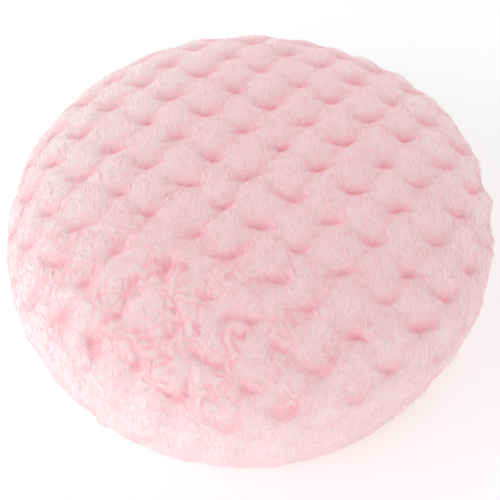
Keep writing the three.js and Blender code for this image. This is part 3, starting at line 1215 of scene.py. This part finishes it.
@dataclass
class PlushCover:
    """The embossed plush: a ground that holds the form, and a pile of separate fibres over it."""

    meridian: Meridian
    relief: Relief
    nap: Nap = Nap()
    dye_and_painted_light: PileDyeAndPaintedLight = PileDyeAndPaintedLight()
    ground_depth: float = 0.05
    # the ground is painted deeper as shade between the fibres
    ground_shade_tint: float = 0.15
    crown_ring_step: float = 0.45
    skirt_ring_step: float = 1.2
    last_rings: Span = (0.2, 0.05)  # how far the last rings of the ground are from its end
    mouth_fade: Span = (4.0, 0.5)  # where the ground comes up to the section, from its end
    wall_rings: int = 4
    lining_rings: int = 12
    round_steps: int = 600
    crown_fibres: int = 126000
    rim_fibres: int = 46000
    underside_fibres: int = 15000
    rim_overlap: float = 3.0
    underside_overlap: float = 1.0
    bare_mouth: float = 2.2
    stray: float = 0.4
    stray_reach: float = 4.0
    side_band: float = 12.0
    side_combed: float = 0.9
    side_loose: float = 0.04
    lock_across: float = 0.75
    lock_along: float = 2.2
    fibre_width: float = 0.17
    fibre_widths: Span = (0.7, 1.2)
    fibre_reach: float = 2.0
    fibre_lengths: Span = (0.75, 1.25)
    fibre_roll: float = 0.06
    mussed_shortens: float = 0.35
    dimple_shortens: float = 0.5
    dimple_tints: Span = (0.12, 0.4)
    shortest: float = 0.45
    root_depth: float = 0.15
    knee: float = 0.4
    knee_depth: float = 0.02
    knee_lift: float = 0.6
    most_bridged: float = 0.3
    most_bled: float = 0.1
    bridge_shares: tuple[float, ...] = (1.0, 0.8, 0.6, 0.4, 0.2)
    bridge_cut: float = 0.8
    palette_rows: tuple[float, float, float] = (0.02, 0.4, 0.98)  # of root, knee and tip
    palette_width: float = 0.006  # of a blade, so that it has some area there
    palette_margin: float = 0.01
    place_seed: int = 2024
    pile_seed: int = 2124

    def build_ground(self) -> Piece:
        """Spin the closed ground, then press the embossing into it.

        Returns:
            The ground, with each point's painted shade kept on it.
        """
        line = self.meridian
        outer = np.concatenate((
            np.arange(0.0, line.widest, self.crown_ring_step),
            np.arange(line.widest, line.end - self.last_rings[0], self.skirt_ring_step),
            [line.end - self.last_rings[1]],
        ))
        radius, height, _, _ = line.at(outer)
        radius[0] = 0.0
        inset = line.plush_thickness
        lining = line.lining(inset, inset, self.wall_rings, self.lining_rings)
        profile = np.concatenate((np.stack((radius, height), axis=1), lining))
        reached = np.concatenate((outer, np.full(len(lining), -1.0)))
        ground = turned("plush_ground", profile, self.round_steps, "reach", reached)
        mesh = ground.data
        reach = np.empty(len(mesh.vertices))
        mesh.attributes["reach"].data.foreach_get("value", reach)
        mesh.attributes.remove(mesh.attributes["reach"])
        places = coordinates(mesh)
        outside = reach >= 0
        angle = np.arctan2(places[outside, 1], places[outside, 0])
        x, y = reach[outside] * np.cos(angle), reach[outside] * np.sin(angle)
        relief, tint, _, _ = self.relief.at(x, y)
        fade = smoothstep(reach[outside], line.end - self.mouth_fade[0], line.end - self.mouth_fade[1])
        places[outside] = line.place(x, y, relief - self.ground_depth * (1 - fade))
        places[:, 2] = line.rested(places[:, 2])
        set_coordinates(mesh, places)
        # painted shade of the embossing, deepened as shade between the fibres
        depth = np.zeros(len(mesh.vertices), np.float32)
        depth[outside] = np.clip(tint + self.ground_shade_tint, 0, 1)
        mesh.attributes.new(PAINTED_SHADE, "FLOAT", "POINT").data.foreach_set("value", depth)
        return ground

    def seed_fibres(self, zone: Zone) -> tuple[Array, Array]:
        """Spread the fibres of a zone evenly over the cloth.

        Args:
            zone: Which part of the plush.

        Returns:
            Their places on the flat cloth, across and along.
        """
        line = self.meridian
        crown_end, rim_end = line.widest - self.rim_overlap, line.rest_start - self.underside_overlap
        if zone is Zone.UNDERSIDE:
            start, end, count = rim_end, line.end - self.bare_mouth, self.underside_fibres
        elif zone in (Zone.RIM_LEFT, Zone.RIM_RIGHT):
            start, end, count = crown_end, rim_end, self.rim_fibres
        else:
            start, end, count = 0.0, crown_end, self.crown_fibres
        even, radius = line.table[0], line.table[1]
        inside = (even >= start) & (even <= end)
        grown = np.cumsum(radius[inside])
        draw = np.random.default_rng(self.place_seed + count)
        order = np.arange(count)
        share = (order + draw.uniform(0, 1, count)) / count
        reach = np.interp(share * grown[-1], grown, even[inside])
        angle = order * GOLDEN_ANGLE + draw.normal(0, self.stray, count) / np.maximum(reach, self.stray_reach)
        x, y = reach * np.cos(angle), reach * np.sin(angle)
        kept = np.ones(count, bool)
        if "left" in zone.value or "right" in zone.value:
            kept &= (x < 0) == ("left" in zone.value)
        if "front" in zone.value or "back" in zone.value:
            kept &= (y < 0) == ("front" in zone.value)
        return x[kept], y[kept]

    def strands(self, zone: Zone) -> Strands:
        """Find what sets the fibres of a zone apart.

        Args:
            zone: Which part of the plush.

        Returns:
            The fibres.
        """
        emboss, widest = self.relief.embossing, self.meridian.widest
        x, y = self.seed_fibres(zone)
        side = smoothstep(np.hypot(x, y), widest - self.side_band, widest)
        loose = emboss.muss(x, y) * (1 - self.side_combed * side) + self.side_loose * side
        lock = tufts(x, y, self.lock_across, self.lock_along, seed=21)
        draw = np.random.default_rng(self.pile_seed + list(Zone).index(zone))
        return Strands(x, y, side, loose, lock, emboss.tufted(x, y), draw)

    def fibres(self, name: str, count: int) -> tuple[Piece, Array]:
        """Repeat one slim closed blade with four faces for all the fibres of a piece.

        Args:
            name: The piece's name.
            count: How many fibres it has.

        Returns:
            The piece, and for each point of a blade its side, -1 to 1, and place: root 0, knee 1 or tip 2.
        """
        bm = bmesh.new()
        bmesh.ops.create_cone(bm, cap_ends=True, segments=3, radius1=1.0, radius2=0.0, depth=1.0)
        bmesh.ops.remove_doubles(bm, verts=bm.verts[:], dist=SAME_PLACE)
        blade = from_bmesh(name, bm)
        blade.data.shade_flat()
        points = coordinates(blade.data) * MM
        side = points[:, 0] / np.abs(points[:, 0]).max()
        station = np.where(points[:, 2] > 0, 2, np.where(points[:, 1] > 0, 0, 1))
        repeat = blade.modifiers.new("repeat", "ARRAY")
        repeat.count = count
        repeat.use_relative_offset = False
        return baked(blade), np.stack((side, station), axis=1)

    def unbridged(self, tip: tuple[Array, Array], lean: tuple[Array, Array], length: Array) -> Array:
        """Shorten the fibres that would bridge a dimple between root and tip.

        Args:
            tip: Places of the tips on the flat cloth, across and along.
            lean: The way from root to tip, across and along.
            length: How far each root would lie from its tip.

        Returns:
            How far each root lies from its tip.
        """
        height, tint, _, _ = self.relief.at(*tip)
        reach = length.copy()
        for share in self.bridge_shares:
            back = share * length
            low, deep, _, _ = self.relief.at(tip[0] - back * lean[0], tip[1] - back * lean[1])
            bridging = (height - low > self.most_bridged) | (np.abs(tint - deep) > self.most_bled)
            reach = np.where(bridging, np.minimum(reach, self.bridge_cut * back), reach)
        return np.maximum(reach, self.shortest)

    def build_pile(self, zone: Zone) -> Piece:
        """Grow a zone's fibres: each leans with the nap and its tip follows the embossing.

        Args:
            zone: Which part of the plush.

        Returns:
            The piece of pile.
        """
        line, relief = self.meridian, self.relief
        grown = self.strands(zone)
        draw, count = grown.draw, len(grown.x)
        tip = self.nap.gathered(grown)
        height, tint, slope_x, slope_y = relief.at(*tip)
        lean = self.nap.lean(grown, slope_x, slope_y)
        length = self.fibre_reach * draw.uniform(*self.fibre_lengths, count)
        length *= 1 - self.mussed_shortens * grown.loose
        length *= 1 - self.dimple_shortens * smoothstep(tint, *self.dimple_tints)
        length = self.unbridged(tip, lean, length)
        root = [end - length * way for end, way in zip(tip, lean)]
        knee = [start + self.knee * (end - start) for start, end in zip(root, tip)]
        lift = self.nap.lift(grown)
        root_relief, root_tint, _, _ = relief.at(*root)
        knee_relief, knee_tint, _, _ = relief.at(*knee)
        path = (
            line.place(*root, root_relief - self.root_depth * length / self.fibre_reach),
            line.place(*knee, knee_relief - self.knee_depth + self.knee_lift * lift),
            line.place(*tip, height + lift),
        )
        along_x, along_y, normal = line.axes(*tip)
        up = unit(normal - along_x * slope_x[:, None] - along_y * slope_y[:, None])
        run = unit(path[2] - path[0])
        flat = unit(np.cross(run, up))
        roll = draw.normal(0, self.fibre_roll, count)[:, None]
        broad = flat * np.cos(roll) + np.cross(flat, run) * np.sin(roll)
        piece, blade = self.fibres(zone.value, count)
        half = 0.5 * self.fibre_width * draw.uniform(*self.fibre_widths, count)[:, None]
        places = np.stack([path[int(station)] + side * half * broad for side, station in blade], axis=1)
        places[..., 2] = line.rested(places[..., 2])
        set_coordinates(piece.data, places.reshape(-1, 3))
        # painted shade of the embossing at root, knee and tip, with painted light and the pile's own uneven
        # colour
        shade = self.dye_and_painted_light.shade(grown, relief.embossing.painted_left_light(grown.x, grown.y))
        self.paint(piece.data, blade, np.stack((root_tint, knee_tint, tint)) + shade)
        return piece

    def paint(self, mesh: bpy.types.Mesh, blade: Array, depth: Array) -> None:
        """Map the fibres to their palette: depth of colour across, which carries painted shade and painted
        light, root to tip along.

        Args:
            mesh: The fibres.
            blade: Side and place of each point of a blade.
            depth: Depth of colour at root, knee and tip, with a column for each fibre.
        """
        corners = np.empty(len(mesh.loops), np.int32)
        mesh.loops.foreach_get("vertex_index", corners)
        fibre, part = np.divmod(corners, len(blade))
        station = blade[part, 1].astype(int)
        depth = np.clip(depth, self.palette_margin, 1 - self.palette_margin)
        across = depth[station, fibre] + self.palette_width * blade[part, 0]
        palette = np.stack((across, np.array(self.palette_rows)[station]), axis=1)
        mesh.uv_layers.new(name=PALETTE_MAP).uv.foreach_set("vector", palette.astype(np.float32).ravel())

    def dress(self) -> None:
        """Build the ground and the pile, give them their finishes, and let them stand for the plush solid."""
        ground = self.build_ground()
        ground.data.materials.append(PlushGround().material())
        pile_finish = PlushPile().material()
        pieces = [ground]
        for zone in Zone:
            pile = self.build_pile(zone)
            pile.data.materials.append(pile_finish)
            pieces.append(pile)
        for piece in pieces:
            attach(piece, BODY)
            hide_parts("plush_cover")
            LOG.info("%s: %d faces", piece.name, len(piece.data.polygons))


# Filling and back


@dataclass
class Filling:
    """The foam pad that fills the plush, and the board that keeps its back flat."""

    meridian: Meridian
    inset: float = 7.3
    pad_bottom: float = 10.3
    edge_round: float = 1.2
    edge_points: int = 6
    bottom_ring: float = 18.0
    wall_rings: int = 6
    crown_rings: int = 24
    round_steps: int = 96

    def dress(self) -> None:
        """Build the foam pad, and give pad and board their finishes."""
        rim = self.pad_bottom + self.edge_round
        lining = self.meridian.lining(self.inset, rim, self.wall_rings, self.crown_rings)
        turn = np.linspace(0.0, QUARTER_TURN, self.edge_points)[:-1]
        edge = np.stack((
            lining[0, 0] - self.edge_round * (1 - np.sin(turn)), rim - self.edge_round * np.cos(turn),
        ), axis=1)
        bottom = [(0.0, self.pad_bottom), (self.bottom_ring, self.pad_bottom)]
        pad = turned("foam_core", np.concatenate((bottom, edge, lining)), self.round_steps)
        pad.data.materials.append(PolyurethaneFoam().material())
        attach(pad, BODY)
        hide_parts("foam_pad")
        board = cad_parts["backing_board"]
        board.data.materials.clear()
        board.data.materials.append(Greyboard().material())
        LOG.info("foam_core: %d faces; backing_board keeps its solid", len(pad.data.polygons))


@dataclass
class SatinBack:
    """The round of satin that closes the back, hemmed inside and puckered a little by its stitches."""

    mouth_radius: float = 31.0
    edge_radius: float = 35.0
    fold_bulge: float = 0.2
    fold_points: int = 6
    hem_width: float = 2.5
    cloth_height: float = 7.62
    hem_rise: float = 0.62
    thickness: float = 0.3
    rings: int = 44
    stitches: int = 47
    steps_per_stitch: int = 4
    pucker: float = 0.14
    pucker_inset: float = 1.0
    pucker_width: float = 3.5
    slack: float = 0.1
    slack_edge: Span = (24.0, 31.0)

    def dress(self) -> None:
        """Spin the cloth with its hem, pucker it, and give it its finish."""
        fold_radius, hem_top = self.edge_radius - self.fold_bulge, self.cloth_height + self.hem_rise
        disc = np.stack((
            np.linspace(0.0, fold_radius, self.rings), np.full(self.rings, self.cloth_height),
        ), axis=1)
        turn = np.linspace(0.0, math.pi, self.fold_points)[1:-1]
        fold = np.stack((
            fold_radius + self.fold_bulge * np.sin(turn),
            self.cloth_height + self.hem_rise * (1 - np.cos(turn)) / 2,
        ), axis=1)
        hem = np.array([(fold_radius, hem_top), (self.edge_radius - self.hem_width, hem_top)])
        profile = np.concatenate((disc, fold, hem))
        satin = turned("satin_lining", profile, self.steps_per_stitch * self.stitches)
        places = coordinates(satin.data)
        x, y = places[:, 0], places[:, 1]
        radius, angle = np.hypot(x, y), np.arctan2(y, x)
        near_seam = bell(radius - self.mouth_radius + self.pucker_inset, self.pucker_width)
        puckers = self.pucker * near_seam * np.cos(self.stitches * angle)
        slack = self.slack * (1 - smoothstep(radius, *self.slack_edge)) * ripple(x, y, wavelength=16, seed=61)
        places[:, 2] += puckers + slack
        set_coordinates(satin.data, places)
        satin = thickened(satin, self.thickness)
        satin.data.materials.append(WovenSatin().material())
        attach(satin, BODY)
        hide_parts("satin_back")


@dataclass
class RibbonStrap:
    """The ribbon across the back, sewn flat at both ends and bowed between them for the fingers."""

    width: float = 22.0
    thickness: float = 0.42
    end: float = 27.05
    sewn: float = 5.0
    rise: float = 8.0
    sewn_height: float = 6.75
    bow: float = 5.0
    cup: float = 0.25
    unevenness: float = 0.05
    bend_points: int = 40
    length_segments: int = 110
    width_segments: int = 26

    def path(self) -> Array:
        """Lay the ribbon's middle line: level, then up an S-bend to each sewn end.

        Returns:
            Points of (along X, up Z), close together.
        """
        bend, ease = self.end - self.sewn, self.rise / 2
        level = bend - self.rise
        low, high = self.sewn_height - self.bow, self.sewn_height
        knots = np.array([(level, low), (level + ease, low), (bend - ease, high), (bend, high)])
        t = np.linspace(0.0, 1.0, self.bend_points)
        weights = np.stack(((1 - t) ** 3, 3 * (1 - t) ** 2 * t, 3 * (1 - t) * t * t, t ** 3), axis=1)
        half = np.concatenate(([(0.0, low)], weights @ knots, [(self.end, high)]))
        return np.concatenate((half[:0:-1] * (-1, 1), half))

    def dress(self) -> None:
        """Bend a flat woven strip along the path, and give it its finish."""
        path = self.path()
        gone = travelled(path)
        bm = bmesh.new()
        bmesh.ops.create_grid(bm, x_segments=self.length_segments, y_segments=self.width_segments, size=1.0)
        strip = from_bmesh("ribbon_grip", bm)
        places = coordinates(strip.data) * MM
        along, over = (places[:, 0] + 1) / 2 * gone[-1], places[:, 1] * self.width / 2
        x, z = np.interp(along, gone, path[:, 0]), np.interp(along, gone, path[:, 1])
        bowed = 1 - smoothstep(np.abs(x), self.end - self.sewn - self.rise, self.end - self.sewn)
        z += self.cup * bowed * (over / (self.width / 2)) ** 2
        z += self.unevenness * bowed * ripple(x, over, wavelength=9, seed=71)
        set_coordinates(strip.data, np.stack((x, over, z), axis=1))
        strip = thickened(strip, self.thickness)
        strip.data.materials.append(WovenSatin(
            name="satin_ribbon", light="#f4b4c0", dark="#e493a2", warp_mm=0.5, slub_mm=8.0,
        ).material())
        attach(strip, BODY)
        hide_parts("ribbon_strap")
        LOG.info("ribbon_grip: %d faces, %.1f mm long", len(strip.data.polygons), gone[-1])


@dataclass
class Sewing:
    """The thread of the seam round the back, and the bar tacks that hold the ribbon's ends."""

    ply_radius: float = 0.135
    ply_offset: float = 0.115
    twist: float = 1.3
    seam_radius: float = 30.05
    seam_height: float = 6.75
    seam_swing: float = 0.4
    seam_stitches: int = 47
    seam_points: int = 28
    tack_middle: float = 24.55
    tack_length: float = 17.0
    tack_width: float = 2.6
    tack_height: float = 5.95
    tack_points: int = 44
    zigzags: int = 8

    def plied(self, name: str, path: Array, closed: bool) -> Piece:
        """Twist two plies round a path.

        Args:
            name: The piece's name.
            path: Points of the thread's middle line, evenly spaced.
            closed: Whether the thread joins up with itself.

        Returns:
            The thread as a mesh.
        """
        ahead = np.roll(path, -1, axis=0) - np.roll(path, 1, axis=0) if closed else np.gradient(path, axis=0)
        ahead = unit(ahead)
        across = unit(np.cross(ahead, (0.0, 0.0, 1.0)))
        above = np.cross(across, ahead)
        gone = travelled(path)
        length = gone[-1] + (np.linalg.norm(path[0] - path[-1]) if closed else 0.0)
        turns = max(1, round(length / self.twist))
        curve = bpy.data.curves.new(name, "CURVE")
        curve.dimensions = "3D"
        curve.bevel_depth = self.ply_radius * MM
        curve.bevel_resolution = 1
        curve.use_fill_caps = not closed
        for ply in (0.0, math.pi):
            angle = math.tau * turns * gone / length + ply
            round_it = np.cos(angle)[:, None] * across + np.sin(angle)[:, None] * above
            middle = path + self.ply_offset * round_it
            spline = curve.splines.new("POLY")
            spline.points.add(len(middle) - 1)
            spline.points.foreach_set("co", np.column_stack((middle * MM, np.ones(len(middle)))).ravel())
            spline.use_cyclic_u = closed
        thread = baked(new_piece(name, curve))
        thread.data.shade_smooth()
        return thread

    def seam_path(self) -> Array:
        """Lay the seam, swinging from the satin to the plush and back at each stitch.

        Returns:
            Points of the thread's middle line.
        """
        angle = np.linspace(0.0, math.tau, self.seam_stitches * self.seam_points, endpoint=False)
        radius = self.seam_radius + self.seam_swing * np.cos(self.seam_stitches * angle)
        height = np.full_like(angle, self.seam_height)
        return np.stack((radius * np.cos(angle), radius * np.sin(angle), height), axis=1)

    def tack_path(self, side: int) -> Array:
        """Lay the zigzag across one sewn end of the ribbon.

        Args:
            side: -1 for the left end and 1 for the right.

        Returns:
            Points of the thread's middle line.
        """
        turn = np.linspace(0.0, 1.0, self.zigzags * self.tack_points + 1)
        swing = -0.5 * self.tack_width * np.cos(math.tau * self.zigzags * turn)
        height = np.full_like(turn, self.tack_height)
        return np.stack((side * self.tack_middle + swing, self.tack_length * (turn - 0.5), height), axis=1)

    def dress(self) -> None:
        """Sew the seam and both tacks, and give them their finish."""
        finish = SewingThread().material()
        threads = {
            "seam_thread": self.plied("seam_stitching", self.seam_path(), True),
            "strap_tack_left": self.plied("tack_stitching_left", self.tack_path(-1), False),
            "strap_tack_right": self.plied("tack_stitching_right", self.tack_path(1), False),
        }
        for solid, thread in threads.items():
            thread.data.materials.clear()
            thread.data.materials.append(finish)
            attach(thread, BODY)
            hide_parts(solid)
            LOG.info("%s: %d faces", thread.name, len(thread.data.polygons))


# Studio


@dataclass
class Studio:
    """A white floor, soft light from the near left, and the camera above the near side."""

    elevation: float = math.radians(57.71)
    distance: float = 155.25
    target: tuple[float, float, float] = (0.146, 0.0, 5.97)
    lens: float = 56.44
    sensor: float = 36.0
    clip_start: float = 5.0
    horizon: float = 1.4
    zenith: float = 0.44
    horizon_height: float = 0.1
    zenith_height: float = 0.95
    key_place: tuple[float, float, float] = (-0.62, -0.22, 0.26)  # metres
    key_power: float = 1.9  # watts
    rim_place: tuple[float, float, float] = (0.4, 0.62, 0.22)  # metres
    rim_power: float = 0.8  # watts
    lamp_size: float = 0.6  # metres
    lamp_aim: tuple[float, float, float] = (0.0, 0.0, 0.015)  # metres
    floor_half: float = 2.0  # metres
    floor_segments: int = 8
    light_bounces: int = 12  # pale fibres pass light on to each other many times

    def camera(self) -> None:
        """Set the camera at the photograph's place."""
        lens = bpy.data.cameras.new("camera")
        lens.lens, lens.sensor_width, lens.sensor_fit = self.lens, self.sensor, "HORIZONTAL"
        lens.clip_start = self.clip_start * MM
        eye = bpy.data.objects.new("camera", lens)
        cos, sin = math.cos(self.elevation), math.sin(self.elevation)
        right, up, back = Vector((1, 0, 0)), Vector((0, sin, cos)), Vector((0, -cos, sin))
        place = (Vector(self.target) + back * self.distance) * MM
        eye.matrix_world = Matrix.Translation(place) @ Matrix((right, up, back)).transposed().to_4x4()
        bpy.context.scene.collection.objects.link(eye)
        bpy.context.scene.camera = eye

    def lamp(self, name: str, place: tuple[float, float, float], power: float) -> None:
        """Hang a square soft lamp that faces the puff.

        Args:
            name: The lamp's name.
            place: Where it hangs, in metres.
            power: Its power, in watts.
        """
        light = bpy.data.lights.new(name, "AREA")
        light.size, light.energy = self.lamp_size, power
        lamp = bpy.data.objects.new(name, light)
        lamp.location = place
        aim = Vector(self.lamp_aim) - Vector(place)
        lamp.rotation_euler = aim.to_track_quat("-Z", "Y").to_euler()
        bpy.context.scene.collection.objects.link(lamp)

    def floor(self) -> None:
        """Lay a matt white floor that keeps the puff's shadow."""
        bm = bmesh.new()
        segments = self.floor_segments
        bmesh.ops.create_grid(bm, x_segments=segments, y_segments=segments, size=self.floor_half)
        floor = from_bmesh("floor", bm)
        floor.data.materials.append(WhitePaper().material())

    def world(self) -> None:
        """Surround the puff with soft white light, which the camera sees as white."""
        world = bpy.data.worlds.new("studio")
        bpy.context.scene.world = world
        world.use_nodes = True
        tree = world.node_tree
        tree.nodes.clear()
        ray = node(tree, "LightPath")
        seen = ray.outputs["Is Camera Ray"]
        for way in ("Is Transmission Ray", "Is Glossy Ray"):
            seen = node(tree, "Math", {0: seen, 1: ray.outputs[way]}, operation="MAXIMUM").outputs[0]
        space = node(tree, "TexCoord")
        direction = node(tree, "SeparateXYZ", {0: space.outputs["Generated"]})
        light = node(tree, "MapRange", {
            "Value": direction.outputs["Z"], "From Min": self.horizon_height, "From Max": self.zenith_height,
            "To Min": self.horizon, "To Max": self.zenith,
        }, interpolation_type="SMOOTHSTEP")
        strength = node(tree, "Mix", {"Factor": seen, "A": light.outputs[0], "B": 1.0}, data_type="FLOAT")
        sky = node(tree, "Background", {"Color": linear(WHITE), "Strength": strength.outputs[0]})
        node(tree, "OutputWorld", {"Surface": sky.outputs[0]})

    def set_up(self) -> None:
        """Place camera, floor and light."""
        bpy.context.scene.view_settings.view_transform = "Standard"
        bpy.context.scene.cycles.diffuse_bounces = self.light_bounces
        bpy.context.scene.cycles.max_bounces = self.light_bounces
        self.camera()
        self.floor()
        self.world()
        self.lamp("softbox", self.key_place, self.key_power)
        self.lamp("back softbox", self.rim_place, self.rim_power)


def main() -> None:
    """Build the puff piece by piece in its studio."""
    logging.basicConfig(level=logging.INFO, format="%(name)s %(message)s")
    Studio().set_up()
    meridian = Meridian()
    PlushCover(meridian, Relief(Embossing())).dress()
    Filling(meridian).dress()
    SatinBack().dress()
    RibbonStrap().dress()
    Sewing().dress()


if __name__ == "__main__":
    main()
